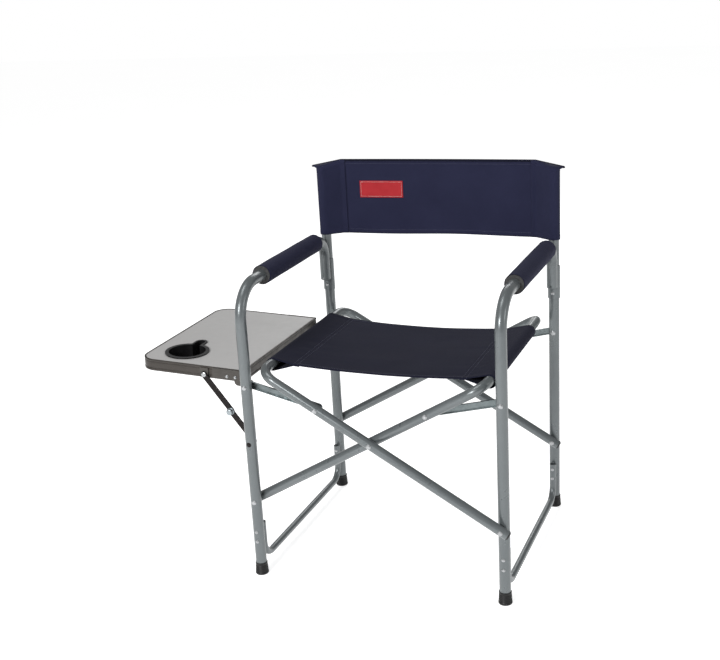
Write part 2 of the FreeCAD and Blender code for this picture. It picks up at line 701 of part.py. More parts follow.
def cup_holder():
    """The moulded cup with its rim and the slot for a mug's handle."""
    body = new_body("cup_holder")
    rim = sketch_on(body, "XY_Plane", f"{TABLE_TOP} - board_drop")
    cup_hole(rim, "cup_rim", "handle_rim")
    pad(body, rim, "rim_height")
    well = sketch_on(body, "XY_Plane", f"{TABLE_TOP} - board_drop")
    cup_hole(well, "cup_outer", "handle_outer")
    pad(body, well, "cup_depth", reverse=True)
    hollow = sketch_on(body, "XY_Plane", f"{TABLE_TOP} - board_drop + rim_height")
    cup_hole(hollow, "cup_inner", "handle_inner")
    pocket(body, hollow, "rim_height + cup_depth - cup_floor")
    place_on_table(body)


ENDS = {"front": ("0", "-"), "rear": ("table_length", "+")}
HINGE_RIVETS = ["-50", "-32"]


def outward_plate(body, outline_of, depth_from, depth_to, end):
    """Pads an outline drawn in XZ between two distances outside the table's front or rear face."""
    face, sign = ENDS[end]
    far = f"{face} {sign} ({depth_to})"
    near = f"{face} {sign} ({depth_from})"
    low = far if end == "front" else near
    sketch = sketch_on(body, "XZ_Plane", f"-({low})")
    outline_of(sketch)
    pad(body, sketch, f"({depth_to}) - ({depth_from})", reverse=True)


def hinge_plate(end):
    """A flat plate riveted to the table's end face, with a lug that turns on the side frame's pivot."""
    body = new_body(f"table_{end}_hinge_plate")

    def plate(sketch):
        rectangle(sketch, "-hinge_plate_left", "1", "-hinge_plate_right", "table_height - 1")

    def lug(sketch):
        rounded_slot(sketch, "hinge_plate_right + 10", "hinge_lug", "-hinge_plate_right - 10", "0")
    outward_plate(body, plate, "0", "hinge_plate", end)
    outward_plate(body, lug, "0", "hinge_plate", end)
    drill(body, "pivot_radius + pivot_play", [("0", "0")])
    drill(body, "rivet_radius", [(x, "hinge_rivet_height") for x in HINGE_RIVETS])
    place_on_table(body)


def brace_bracket():
    """The small plate on the table's front edge that the brace hangs from."""
    body = new_body("table_brace_bracket")

    def outline(sketch):
        rectangle(sketch, "-brace_out - 9", "1", "-brace_out + 9", "table_height - 3")
    outward_plate(body, outline, "0", "hinge_plate", "front")
    drill(body, "pivot_radius", [("-brace_out", "brace_up")])
    place_on_table(body)


def table_rivets():
    """The rivets of the hinge plates and the pin that the brace hangs from."""
    pieces = []
    for end, (face, sign) in ENDS.items():
        toward = Y_AXIS.negative() if end == "front" else Y_AXIS
        outside = f"{face} {sign} hinge_plate"
        for x in HINGE_RIVETS:
            pieces.append(cylinder("rivet_radius", "hinge_plate", x, face, "hinge_rivet_height", toward))
            pieces.append(cylinder("rivet_head", "head_height", x, outside, "hinge_rivet_height", toward,
                                   tip="rivet_radius"))
    face, sign = ENDS["front"]
    pin = "hinge_plate + brace_bar + brace_gap * 2"
    pieces.append(cylinder("pivot_radius", pin, "-brace_out", face, "brace_up", Y_AXIS.negative()))
    pieces.append(cylinder("head_radius", "1", "-brace_out", f"{face} {sign} ({pin})", "brace_up",
                           Y_AXIS.negative(), tip="pivot_radius"))
    place_on_table(joined("table_rivets", pieces))


# ---- table brace ------------------------------------------------------------------------------------

HINGE_X = side_x("left")
BRACE_X = "(brace_out * cos(table_lift) - brace_up * sin(table_lift))"
BRACE_Z = "(brace_out * sin(table_lift) + brace_up * cos(table_lift))"
BRACE_SPAN = f"sqrt({BRACE_X} ^ 2 + ({BRACE_Z} + brace_foot_drop) ^ 2)"
BRACE_SLOPE = f"(atan(({BRACE_Z} + brace_foot_drop) / {BRACE_X}) / 1deg)"
TABLE_FACE_Y = f"{side_y('left')} + table_front"


def brace_bar(half):
    """One half of the folding brace: the upper bar hangs from the table, the lower from the front leg."""
    body = new_body(f"brace_{half}_bar")
    share = "brace_share" if half == "upper" else "(1 - brace_share)"
    length = f"{BRACE_SPAN} * {share}"
    outline = sketch_on(body, "XZ_Plane")
    rounded_slot(outline, length, "brace_width / 2")
    pad(body, outline, "brace_bar")
    drill(body, "pivot_radius + pivot_play", [("0", "0")])
    if half == "upper":
        y = f"{TABLE_FACE_Y} - (hinge_plate + brace_gap)"
        place(body, f"{HINGE_X} - {BRACE_X}", y, f"link_height + {BRACE_Z}", Y_AXIS, BRACE_SLOPE)
    else:
        y = f"{TABLE_FACE_Y} - (hinge_plate + brace_gap * 2 + brace_bar)"
        place(body, HINGE_X, y, BRACE_FOOT_HEIGHT, Y_AXIS, f"{BRACE_SLOPE} + 180")


def brace_foot_pin():
    """The pin through the front leg that holds the brace's lower end."""
    tip = f"{TABLE_FACE_Y} - (hinge_plate + brace_gap * 2 + brace_bar) + 0.2"
    shank, head = rivet(HINGE_X, f"{side_y('left')} - {LEG}", tip, BRACE_FOOT_HEIGHT)[:2]
    joined("brace_foot_pin", [shank, head])


def brace_knob():
    """The zinc nut on the brace's knee."""
    along = f"{BRACE_SPAN} * (1 - brace_share)"
    x = f"{HINGE_X} - {along} * cos({BRACE_SLOPE})"
    y = f"{TABLE_FACE_Y} - (hinge_plate + brace_gap * 2 + brace_bar * 2)"
    z = f"{BRACE_FOOT_HEIGHT} + {along} * sin({BRACE_SLOPE})"
    toward = Y_AXIS.negative()
    flange = cylinder("knob_radius", "2", x, y, z, toward)
    nut = cylinder("knob_radius * 0.8", "knob_length", x, y, z, toward, tip="knob_radius * 0.62")
    joined("brace_knee_nut", [flange, nut])


# ---- build ------------------------------------------------------------------------------------------

for name_of_side in SIDES:
    arm_and_front_leg(name_of_side)
    upright(name_of_side)
    upright_plug(name_of_side)
    stretcher(name_of_side)
    foot(name_of_side, "front")
    foot(name_of_side, "rear")
    frame_rivets(name_of_side)
    pivot_rivets(name_of_side)
    arm_pad(name_of_side)
    back_sleeve(name_of_side)
    seat_sleeve(name_of_side)
    seat_panel(name_of_side)
    back_panel(name_of_side)
    for link_end in ("front", "rear"):
        link(name_of_side, link_end)
    link_end_rivets(name_of_side)
for frame_name in CROSS_FRAMES:
    cross_frame(frame_name)
    cross_plugs(frame_name)
    cross_rivets(frame_name)
table_board()
table_trim()
cup_holder()
for table_end in ENDS:
    hinge_plate(table_end)
brace_bracket()
table_rivets()
brace_bar("upper")
brace_bar("lower")
brace_knob()
brace_foot_pin()

document.recompute()
for thing in document.Objects:
    if "Invalid" in thing.State or "Error" in thing.State:
        raise RuntimeError(f"{thing.Name} ({thing.Label}) did not compute")
os.makedirs("parts", exist_ok=True)
for label, thing in parts.items():
    shape = thing.Shape
    if shape.isNull() or not shape.isValid():
        raise RuntimeError(f"{label} has no valid shape")
for label, thing in parts.items():
    thing.Shape.exportStep(f"parts/{label}.step")
print(len(parts), "sub-parts written")
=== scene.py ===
import json
import math

import bmesh
import bpy
from mathutils import Matrix, Vector, noise


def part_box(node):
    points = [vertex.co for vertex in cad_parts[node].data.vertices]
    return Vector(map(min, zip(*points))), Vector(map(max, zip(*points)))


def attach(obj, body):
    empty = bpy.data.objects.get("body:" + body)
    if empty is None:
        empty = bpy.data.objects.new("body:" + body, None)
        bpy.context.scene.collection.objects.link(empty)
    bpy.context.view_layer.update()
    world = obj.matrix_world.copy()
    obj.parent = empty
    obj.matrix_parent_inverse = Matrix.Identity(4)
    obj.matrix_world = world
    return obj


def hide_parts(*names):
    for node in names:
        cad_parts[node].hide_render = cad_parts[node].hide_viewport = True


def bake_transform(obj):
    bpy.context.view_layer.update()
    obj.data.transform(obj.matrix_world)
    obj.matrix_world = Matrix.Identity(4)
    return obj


# Folding director chair with a side table.  Everything is in metres, in the CAD frame:
# +Y to the back, +Z up, the side table on the -X side.

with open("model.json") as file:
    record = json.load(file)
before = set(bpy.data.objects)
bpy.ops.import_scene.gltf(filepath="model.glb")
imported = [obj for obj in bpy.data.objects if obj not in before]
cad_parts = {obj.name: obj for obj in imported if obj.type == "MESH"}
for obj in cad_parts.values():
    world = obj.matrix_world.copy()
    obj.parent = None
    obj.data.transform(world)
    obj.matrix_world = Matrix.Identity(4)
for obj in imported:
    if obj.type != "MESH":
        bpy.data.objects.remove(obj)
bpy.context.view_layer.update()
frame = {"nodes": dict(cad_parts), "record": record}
JOINTS = {joint["name"]: joint for joint in frame["record"]["behaviour"]["joints"]}
MM = 0.001


def pivot(joint):
    return Vector(JOINTS[joint]["pos_m"])


def box_of(node):
    """The low and the high corner of a CAD node's box."""
    low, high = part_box(node)
    return Vector(low), Vector(high)


def middle(node):
    low, high = box_of(node)
    return (low + high) / 2


# ---- camera, floor and light --------------------------------------------------------------------

CAMERA_PLACE = (0.8835, -2.1304, 1.1828)
CAMERA_TURN = (0.387, 0.3066, -0.0559)    # yaw, pitch and roll in radians
CAMERA_LENS, CAMERA_SENSOR = 59.26, 36    # millimetres

SKY_LIGHTS, SKY_LOOKS = 0.34, 1.0         # the sky's strength as a light, and as the camera sees it
FLOOR_GLOW = 0.69
FLOOR_HALF = 12
LIGHT_AIM = (0, 0, 0.42)
LIGHTS = (                                # name, place, diameter in metres, power in watts
    ("key", (-0.6, -3.2, 1.9), 0.9, 88),
    ("overhead", (-0.6, -0.6, 3.2), 1.4, 22),
    ("side", (2.8, -0.4, 1.4), 1.2, 12),
    ("behind", (-0.6, 2.8, 2.0), 1.6, 18),
)


def make_camera():
    """Placed by the vanishing lines of the legs, the rails and the table edge."""
    yaw, pitch, roll = CAMERA_TURN
    level = math.cos(pitch)
    forward = Vector((-math.sin(yaw) * level, math.cos(yaw) * level, -math.sin(pitch)))
    right = Vector((math.cos(yaw), math.sin(yaw), 0))
    up = right.cross(forward)
    rolled_right = math.cos(roll) * right + math.sin(roll) * up
    rolled_up = math.cos(roll) * up - math.sin(roll) * right
    data = bpy.data.cameras.new("camera")
    data.sensor_width = CAMERA_SENSOR
    data.lens = CAMERA_LENS
    data.clip_end = 50
    camera = bpy.data.objects.new("camera", data)
    turn = Matrix((rolled_right, rolled_up, -forward)).transposed()
    camera.matrix_world = Matrix.Translation(CAMERA_PLACE) @ turn.to_4x4()
    bpy.context.scene.collection.objects.link(camera)
    bpy.context.scene.camera = camera


def area_light(name, place, size, power):
    data = bpy.data.lights.new(name, "AREA")
    data.shape = "DISK"
    data.size = size
    data.energy = power
    light = bpy.data.objects.new(name, data)
    light.location = place
    light.rotation_euler = (Vector(LIGHT_AIM) - Vector(place)).to_track_quat("-Z", "Y").to_euler()
    bpy.context.scene.collection.objects.link(light)


def make_studio():
    """A faintly glowing white floor under a white sky, and four lamps, the key one by the camera."""
    bpy.context.scene.view_settings.view_transform = "Standard"
    world = bpy.data.worlds.new("studio")
    world.use_nodes = True
    nodes, links = world.node_tree.nodes, world.node_tree.links
    background = nodes["Background"]
    background.inputs["Color"].default_value = (1, 1, 1, 1)
    strength = nodes.new("ShaderNodeMapRange")
    strength.inputs["To Min"].default_value = SKY_LIGHTS
    strength.inputs["To Max"].default_value = SKY_LOOKS
    seen = nodes.new("ShaderNodeLightPath")
    links.new(seen.outputs["Is Camera Ray"], strength.inputs["Value"])
    links.new(strength.outputs["Result"], background.inputs["Strength"])
    bpy.context.scene.world = world
    mesh = bpy.data.meshes.new("floor")
    corners = [(x * FLOOR_HALF, y * FLOOR_HALF, 0) for x, y in ((-1, -1), (1, -1), (1, 1), (-1, 1))]
    mesh.from_pydata(corners, [], [(0, 1, 2, 3)])
    floor = bpy.data.objects.new("floor", mesh)
    bpy.context.scene.collection.objects.link(floor)
    white = plain_material("floor_white", (0.88, 0.88, 0.88), 0.9)
    shader = white.node_tree.nodes["Principled BSDF"]
    shader.inputs["Emission Color"].default_value = (1, 1, 1, 1)
    shader.inputs["Emission Strength"].default_value = FLOOR_GLOW
    shader.inputs["Specular IOR Level"].default_value = 0
    floor.data.materials.append(white)
    for light in LIGHTS:
        area_light(*light)


# ---- materials ------------------------------------------------------------------------------------

class Paint:
    """Builds one node material: the constants sit on the shader, textures are added one at a time."""

    def __init__(self, name, colour, roughness, metallic=0.0, **more):
        self.material = bpy.data.materials.new(name)
        self.material.use_nodes = True
        self.nodes = self.material.node_tree.nodes
        self.links = self.material.node_tree.links
        self.shader = self.nodes["Principled BSDF"]
        self.colour = (*colour, 1)
        self.shader.inputs["Base Color"].default_value = self.colour
        self.shader.inputs["Roughness"].default_value = roughness
        self.shader.inputs["Metallic"].default_value = metallic
        for socket, value in more.items():
            self.shader.inputs[socket.replace("_", " ")].default_value = value
        self.height = None

    def add(self, kind, **settings):
        node = self.nodes.new(kind)
        for name, value in settings.items():
            setattr(node, name, value)
        return node

    def coordinates(self, space, scale):
        source = self.add("ShaderNodeTexCoord").outputs[space]
        mapping = self.add("ShaderNodeMapping")
        mapping.inputs["Scale"].default_value = scale
        self.links.new(source, mapping.inputs["Vector"])
        return mapping.outputs["Vector"]

    def noise(self, size, detail=3.0, stretch=(1, 1, 1), space="Object"):
        """Noise whose grains are about size metres across."""
        vector = self.coordinates(space, tuple(axis / size for axis in stretch))
        texture = self.add("ShaderNodeTexNoise")
        texture.inputs["Scale"].default_value = 1
        texture.inputs["Detail"].default_value = detail
        self.links.new(vector, texture.inputs["Vector"])
        return texture.outputs["Fac"]

    def spread(self, value, low, high):
        """Brings the middle of a noise out to the range low to high."""
        node = self.add("ShaderNodeMapRange")
        node.inputs["From Min"].default_value = 0.3
        node.inputs["From Max"].default_value = 0.7
        node.inputs["To Min"].default_value = low
        node.inputs["To Max"].default_value = high
        self.links.new(value, node.inputs["Value"])
        return node.outputs["Result"]

    def tint(self, value, other, low=0.0, high=1.0):
        """Mixes another colour over the present one by a texture."""
        mix = self.add("ShaderNodeMix", data_type="RGBA")
        self.links.new(self.spread(value, low, high), mix.inputs["Factor"])
        base = self.shader.inputs["Base Color"]
        if base.links:
            self.links.new(base.links[0].from_socket, mix.inputs["A"])
        else:
            mix.inputs["A"].default_value = self.colour
        mix.inputs["B"].default_value = (*other, 1)
        self.links.new(mix.outputs["Result"], base)

    def polish(self, value, low, high):
        self.links.new(self.spread(value, low, high), self.shader.inputs["Roughness"])

    def bump(self, value, strength, depth):
        node = self.add("ShaderNodeBump")
        node.inputs["Strength"].default_value = strength
        node.inputs["Distance"].default_value = depth
        self.links.new(value, node.inputs["Height"])
        if self.height:
            self.links.new(self.height, node.inputs["Normal"])
        self.height = node.outputs["Normal"]
        self.links.new(self.height, self.shader.inputs["Normal"])

    def math(self, operation, *values):
        node = self.add("ShaderNodeMath", operation=operation)
        for socket, value in zip(node.inputs, values):
            if isinstance(value, (int, float)):
                socket.default_value = value
            else:
                self.links.new(value, socket)
        return node.outputs["Value"]

    def weave(self, pitch):
        """Plain weave on the cloth's own flat coordinates: 1 where a thread is on top."""
        split = self.add("ShaderNodeSeparateXYZ")
        self.links.new(self.coordinates("UV", (math.pi / pitch,) * 3), split.inputs["Vector"])
        across = self.math("SINE", split.outputs["X"])
        along = self.math("SINE", split.outputs["Y"])
        product = self.math("MULTIPLY", across, along)
        return self.math("MULTIPLY_ADD", product, 0.5, 0.5)


def plain_material(name, colour, roughness):
    paint = Paint(name, colour, roughness)
    paint.tint(paint.noise(0.6), tuple(channel * 0.985 for channel in colour))
    return paint.material


def tube_paint():
    paint = Paint("silver_grey_paint", (0.118, 0.132, 0.137), 0.3, 0.4, Coat_Weight=0.25,
                  Coat_Roughness=0.18)
    paint.tint(paint.noise(0.09), (0.1, 0.113, 0.118))
    paint.tint(paint.noise(0.0006, 1), (0.17, 0.187, 0.192), 0, 0.35)
    paint.polish(paint.noise(0.03), 0.26, 0.36)
    paint.bump(paint.noise(0.0025, 2), 0.12, 0.0002)
    return paint.material


def navy_cloth(name, painted_shade):
    """Plain woven polyester.  The painted shade factor is 1 on the upright cloth and lower in darker
    copies: painted shade on the seat, which faces the sky, and on the back's top binding.
    """
    def navy(*channels):
        return tuple(channel * painted_shade for channel in channels)

    paint = Paint(name, navy(0.0145, 0.0155, 0.038), 0.88, Sheen_Weight=0.03, Sheen_Roughness=0.5,
                  Specular_IOR_Level=0.08)
    threads = paint.weave(0.0009)
    paint.tint(threads, navy(0.023, 0.025, 0.054), 0, 0.55)
    paint.tint(paint.noise(0.07, 4), navy(0.0115, 0.0125, 0.031), 0, 0.6)
    paint.tint(paint.noise(0.004, 2, (1, 8, 1), "UV"), navy(0.019, 0.0205, 0.046), 0, 0.4)
    paint.bump(threads, 0.35, 0.0003)
    paint.bump(paint.noise(0.012, 3), 0.2, 0.0006)
    return paint.material


def thread_material():
    paint = Paint("navy_thread", (0.04, 0.043, 0.085), 0.6, Sheen_Weight=0.2)
    paint.tint(paint.noise(0.002), (0.028, 0.03, 0.062))
    paint.bump(paint.noise(0.0004, 1), 0.3, 0.0001)
    return paint.material


def label_material():
    paint = Paint("red_woven_label", (0.34, 0.016, 0.022), 0.8, Specular_IOR_Level=0.2)
    threads = paint.weave(0.0006)
    paint.tint(threads, (0.4, 0.03, 0.035), 0, 0.7)
    paint.tint(paint.noise(0.02), (0.28, 0.012, 0.017), 0, 0.5)
    paint.bump(threads, 0.4, 0.0002)
    return paint.material


def pale_thread():
    paint = Paint("pale_thread", (0.62, 0.6, 0.56), 0.6)
    paint.tint(paint.noise(0.002), (0.5, 0.48, 0.45))
    return paint.material


def moulded_black(name, roughness):
    paint = Paint(name, (0.006, 0.006, 0.0065), roughness, Specular_IOR_Level=0.3)
    paint.tint(paint.noise(0.03), (0.011, 0.011, 0.0115))
    paint.polish(paint.noise(0.015), roughness - 0.06, roughness + 0.08)
    paint.bump(paint.noise(0.0009, 2), 0.25, 0.00015)
    return paint.material


def foam_material():
    paint = Paint("arm_foam", (0.03, 0.03, 0.031), 0.95)
    paint.tint(paint.noise(0.004), (0.05, 0.05, 0.05))
    paint.bump(paint.noise(0.0012, 3), 0.7, 0.0008)
    return paint.material


def board_laminate():
    paint = Paint("grey_laminate", (0.4, 0.395, 0.39), 0.42)
    paint.tint(paint.noise(0.0012, 2), (0.35, 0.345, 0.34), 0, 0.5)
    paint.tint(paint.noise(0.12), (0.43, 0.425, 0.42), 0, 0.5)
    paint.polish(paint.noise(0.02), 0.36, 0.5)
    paint.bump(paint.noise(0.0008, 2), 0.15, 0.00012)
    return paint.material


def brushed(name, colour, roughness, grain, metallic=0.85):
    """Drawn metal: fine streaks along its length, with slight dulling."""
    paint = Paint(name, colour, roughness, metallic)
    streaks = paint.noise(0.004, 2, grain)
    paint.tint(streaks, tuple(channel * 0.78 for channel in colour), 0, 0.8)
    paint.tint(paint.noise(0.05), tuple(channel * 1.12 for channel in colour), 0, 0.6)
    paint.polish(paint.noise(0.015), roughness - 0.07, roughness + 0.09)
    paint.bump(streaks, 0.15, 0.0001)
    return paint.material


def zinc_plate(name, colour, roughness):
    paint = Paint(name, colour, roughness, 0.9)
    paint.tint(paint.noise(0.012, 4), tuple(channel * 0.8 for channel in colour), 0, 0.8)
    paint.polish(paint.noise(0.006, 3), roughness - 0.08, roughness + 0.12)
    paint.bump(paint.noise(0.001, 2), 0.15, 0.0001)
    return paint.material


TUBE = tube_paint()
CLOTH = navy_cloth("navy_polyester", 1.0)
# The seat's copy is darkened to 0.55: painted shade standing in for the extra light the seat takes from
# above.
PAINTED_SHADE_SEAT_CLOTH = navy_cloth("navy_polyester_seat_painted_shade", 0.55)
# The binding's copy is darkened to 0.4: painted shade for the dark line along the back's top edge.
PAINTED_SHADE_BINDING = navy_cloth("navy_binding_painted_shade", 0.4)
THREAD = thread_material()
PLASTIC = moulded_black("black_moulding", 0.45)
CUP_PLASTIC = moulded_black("cup_moulding", 0.3)
FOAM = foam_material()
BOARD = board_laminate()
TRIM = brushed("table_trim_metal", (0.052, 0.046, 0.041), 0.42, (0.15, 0.15, 3), 0.6)
STRAP = brushed("strap_metal", (0.062, 0.057, 0.052), 0.4, (0.3, 1, 3), 0.6)
ZINC = zinc_plate("zinc_plate", (0.34, 0.38, 0.4), 0.34)
LINK_ZINC = zinc_plate("link_zinc", (0.16, 0.185, 0.19), 0.36)
RIVET = zinc_plate("rivet_metal", (0.42, 0.43, 0.44), 0.36)
BLACK_STEEL = zinc_plate("black_plated_steel", (0.02, 0.0175, 0.0175), 0.42)


# ---- mesh helpers ---------------------------------------------------------------------------------

def add_object(name, mesh, material):
    thing = bpy.data.objects.new(name, mesh)
    bpy.context.scene.collection.objects.link(thing)
    mesh.materials.append(material)
    mesh.shade_smooth()
    return thing


def add_built(name, build, material):
    """Makes an object of a finished bmesh."""
    mesh = bpy.data.meshes.new(name)
    build.to_mesh(mesh)
    build.free()
    return add_object(name, mesh, material)


def settle(thing):
    """Writes an object's modifiers into its mesh."""
    shown = thing.evaluated_get(bpy.context.evaluated_depsgraph_get())
    mesh = bpy.data.meshes.new_from_object(shown)
    thing.modifiers.clear()
    thing.data = mesh
    return thing


def thicken(thing, thickness, offset=0.0, group=""):
    """Gives an open mesh its thickness, in full where the named group weighs 1."""
    solid = thing.modifiers.new("thickness", "SOLIDIFY")
    solid.thickness = thickness
    solid.offset = offset
    solid.vertex_group = group
    return settle(thing)


def arc(centre, radius, start, finish, count):
    """Points on a circle, with angles in degrees from +X towards +Y."""
    angles = [math.radians(start + (finish - start) * step / count) for step in range(count + 1)]
    return [centre + radius * Vector((math.cos(turn), math.sin(turn))) for turn in angles]


def reaches(points):
    """How far along a line each of its points is."""
    reach = [0.0]
    for before, after in zip(points, points[1:]):
        reach.append(reach[-1] + (after - before).length)
    return reach


def resample(points, reach, pitch):
    """The same line with even steps of about the given pitch."""
    count = max(2, round(reach[-1] / pitch))
    even, index = [], 0
    for step in range(count + 1):
        target = reach[-1] * step / count
        while index < len(points) - 2 and reach[index + 1] < target:
            index += 1
        run = reach[index + 1] - reach[index]
        share = (target - reach[index]) / run if run else 0
        even.append(points[index].lerp(points[index + 1], min(share, 1)))
    return even


CLOTH_THICKNESS = 1.3 * MM     # at a hem, where the cloth is turned in
SINGLE_LAYER = 0.6             # the share of that which one layer has
HEM = 11 * MM


class Ribbon:
    """A sheet of cloth: a flat line of the cloth's section, carried across its width."""

    COLUMN_PITCH = 3 * MM
    ROWS = 104

    def __init__(self, section, width, place, thickness):
        self.reach = reaches(section)
        self.line = resample(section, self.reach, self.COLUMN_PITCH)
        self.length = self.reach[-1]
        self.width = width
        self.place = place
        self.thickness = thickness

    def at(self, along, across):
        """The sheet's point a distance along its section, at a share of its width."""
        position = along / self.length * (len(self.line) - 1)
        index = min(int(position), len(self.line) - 2)
        flat = self.line[index].lerp(self.line[index + 1], position - index)
        return self.place(flat, along / self.length, across)

    def normal(self, along, across):
        step = 1 * MM
        first = self.at(min(along + step, self.length), across) - self.at(max(along - step, 0), across)
        second = self.at(along, min(across + 0.01, 1)) - self.at(along, max(across - 0.01, 0))
        return first.cross(second).normalized()

    def build(self, name, material, hem):
        """The sheet as an object, thicker where each long edge is turned in."""
        columns = len(self.line)
        mesh = bpy.data.meshes.new(name)
        edges = [0, hem * 0.5, hem * 0.94, hem * 1.06]
        inner = [hem * 1.3 + (self.width - 2.6 * hem) * row / self.ROWS
                 for row in range(self.ROWS + 1)]
        stations = edges + inner + [self.width - edge for edge in reversed(edges)]
        points = []
        for station in stations:
            across = station / self.width
            for column in range(columns):
                along = self.length * column / (columns - 1)
                points.append(self.at(along, across))
        faces = []
        for row in range(len(stations) - 1):
            for column in range(columns - 1):
                corner = row * columns + column
                faces.append((corner, corner + 1, corner + columns + 1, corner + columns))
        mesh.from_pydata(points, [], faces)
        layer = mesh.uv_layers.new(name="flat")
        for loop in mesh.loops:
            row, column = divmod(loop.vertex_index, columns)
            layer.data[loop.index].uv = (self.length * column / (columns - 1), stations[row])
        cloth = add_object(name, mesh, material)
        group = cloth.vertex_groups.new(name="hem")
        hemmed = [row * columns + column for row, station in enumerate(stations)
                  for column in range(columns) if min(station, self.width - station) < hem]
        group.add(list(range(len(points))), SINGLE_LAYER, "REPLACE")
        group.add(hemmed, 1.0, "REPLACE")
        return thicken(cloth, self.thickness, group="hem")

    def stitches(self, name, rows, material, pitch=3.6 * MM):
        """Threads lying on both faces.  Each row is (start, finish) in (metres along, metres across)."""
        build = bmesh.new()
        for (start_along, start_across), (end_along, end_across) in rows:
            run = math.hypot(end_along - start_along, end_across - start_across)
            count = int(run / pitch)
            for number in range(count):
                share = (number + 0.5) / count
                along = start_along + (end_along - start_along) * share
                across = (start_across + (end_across - start_across) * share) / self.width
                ahead = 0.6 * MM / run
                next_along = along + (end_along - start_along) * ahead
                next_across = across + (end_across - start_across) / self.width * ahead
                spot = self.at(along, across)
                heading = self.at(min(next_along, self.length), min(next_across, 1)) - spot
                out = self.normal(along, across)
                for side in (-1, 1):
                    surface = spot + out * side * self.thickness * 0.5
                    thread(build, surface, heading, out * side, pitch * 0.72)
        return add_built(name, build, material)


def thread(build, spot, heading, out, length):
    """One stitch, a small rounded bar half sunk in the cloth."""
    heading = heading.normalized()
    side = out.cross(heading).normalized()
    axes = Matrix((heading * length / 2, side * 0.42 * MM, out * 0.36 * MM)).transposed().to_4x4()
    bmesh.ops.create_icosphere(build, subdivisions=1, radius=1, matrix=Matrix.Translation(spot) @ axes)


def turned(name, profile, axis_point, axis, material):
    """A closed solid turned about an axis.  The profile is (radius, height) in metres."""
    build = bmesh.new()
    lift = Vector(axis).normalized()
    side = lift.orthogonal().normalized()
    other = lift.cross(side)
    steps = 56
    rings = []
    for radius, height in profile:
        centre = Vector(axis_point) + lift * height
        if radius < 1e-6:
            rings.append([build.verts.new(centre)])
            continue
        ring = []
        for step in range(steps):
            angle = 2 * math.pi * step / steps
            out = side * math.cos(angle) + other * math.sin(angle)
            ring.append(build.verts.new(centre + radius * out))
        rings.append(ring)
    for low, high in zip(rings, rings[1:]):
        for step in range(steps):
            corners = [low[step % len(low)], low[(step + 1) % len(low)],
                       high[(step + 1) % len(high)], high[step % len(high)]]
            build.faces.new(list(dict.fromkeys(corners)))
    bmesh.ops.recalc_face_normals(build, faces=build.faces)
    return add_built(name, build, material)


def dress(node, material, edge):
    """Gives a CAD node its material, and rounds its edges for the light where edge isn't 0."""
    thing = frame["nodes"][node]
    thing.data.materials.clear()
    thing.data.materials.append(material)
    if edge:
        bevel = thing.modifiers.new("edge", "BEVEL")
        bevel.width = edge
        bevel.segments = 3
        bevel.limit_method = "ANGLE"
        bevel.angle_limit = math.radians(35)
        bevel.harden_normals = True


# ---- seat -----------------------------------------------------------------------------------------

RAIL = {side: middle(f"{side}_seat_sleeve") for side in ("left", "right")}
POST = {side: middle(f"{side}_back_sleeve") for side in ("left", "right")}
SEAT_LOW, SEAT_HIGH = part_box("left_seat_sleeve")
BACK_LOW, BACK_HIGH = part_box("left_back_sleeve")


def pocket_line(radius, hang, seam, tail, lower_drop):
    """Half of a section, +X inboard: from its raw end, round the bar at the origin, to the seam."""
    centre = Vector((0, -hang))
    join = Vector((seam, 0)) - centre
    base = math.degrees(math.atan2(join.y, join.x))
    touch = math.degrees(math.acos(radius / join.length))
    around = arc(centre, radius, base - touch, base + touch - 360, 44)
    return [Vector((seam + tail, -lower_drop)), Vector((seam - 1 * MM, -lower_drop)), *around,
            Vector((seam, 0))]


def make_seat():
    """The seat is one cloth with a pocket at each side, sagging a little between the two rails."""
    radius, hang, seam = 12.4 * MM, 2.3 * MM, 46 * MM
    half = (RAIL["right"].x - RAIL["left"].x) / 2
    centre = (RAIL["right"] + RAIL["left"]) / 2
    pocket = pocket_line(radius, hang, seam, 11 * MM, 1.5 * MM)
    left = [Vector((point.x - half, point.y)) for point in pocket]
    right = [Vector((-point.x, point.y)) for point in reversed(left)]
    flat = half - seam
    sheet = [Vector((-flat + 2 * flat * step / 60, 0)) for step in range(1, 60)]
    width = SEAT_HIGH[1] - SEAT_LOW[1]

    def place(point, along, across):
        inner = max(0.0, 1 - (point.x / flat) ** 2) if abs(point.x) < flat else 0.0
        sag = inner * (5.5 + 3.0 * math.sin(math.pi * across)) * MM
        pulled = abs(point.x) < half and point.y < 5 * MM     # inboard, and not over the rail
        tension = math.exp(-max(flat - abs(point.x), 0) / 0.05) * pulled
        ripple = 0.6 * MM * tension * noise.noise(Vector((across * 16, point.x * 3, 5.0)))
        drift = 0.7 * MM * noise.noise(Vector((point.x * 14, across * 5, 2.0))) * inner
        # both free edges bow forward, the rear one more
        pull = -(1 + 6 * across) * MM * inner * (2 * across - 1) ** 2
        y = SEAT_LOW[1] + width * across + pull
        return Vector((centre.x + point.x, y, centre.z + point.y - sag + ripple + drift))

    ribbon = Ribbon(left + sheet + right, width, place, CLOTH_THICKNESS)
    # The seat cloth takes the darkened copy of the navy cloth, painted shade.
    cloth = ribbon.build("seat_cloth", PAINTED_SHADE_SEAT_CLOTH, HEM)
    marks = len(left) - 1
    first, last = ribbon.reach[marks], ribbon.length - ribbon.reach[marks]
    rows = [((mark, 2 * MM), (mark, width - 2 * MM))
            for mark in (first - 1.5 * MM, first + 6.5 * MM, last + 1.5 * MM, last - 6.5 * MM)]
    rows += [((first + 8 * MM, edge), (last - 8 * MM, edge))
             for edge in (HEM * 0.8, width - HEM * 0.8)]
    threads = ribbon.stitches("seat_stitching", rows, THREAD)
    for piece in (cloth, threads):
        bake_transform(piece)
    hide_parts("left_seat_panel", "right_seat_panel", "left_seat_sleeve", "right_seat_sleeve")


# ---- back -----------------------------------------------------------------------------------------

def back_axes():
    """The line from post to post, and the level direction behind it."""
    run = POST["right"] - POST["left"]
    run.z = 0
    along = run.normalized()
    return run.length, along, Vector((-along.y, along.x, 0))


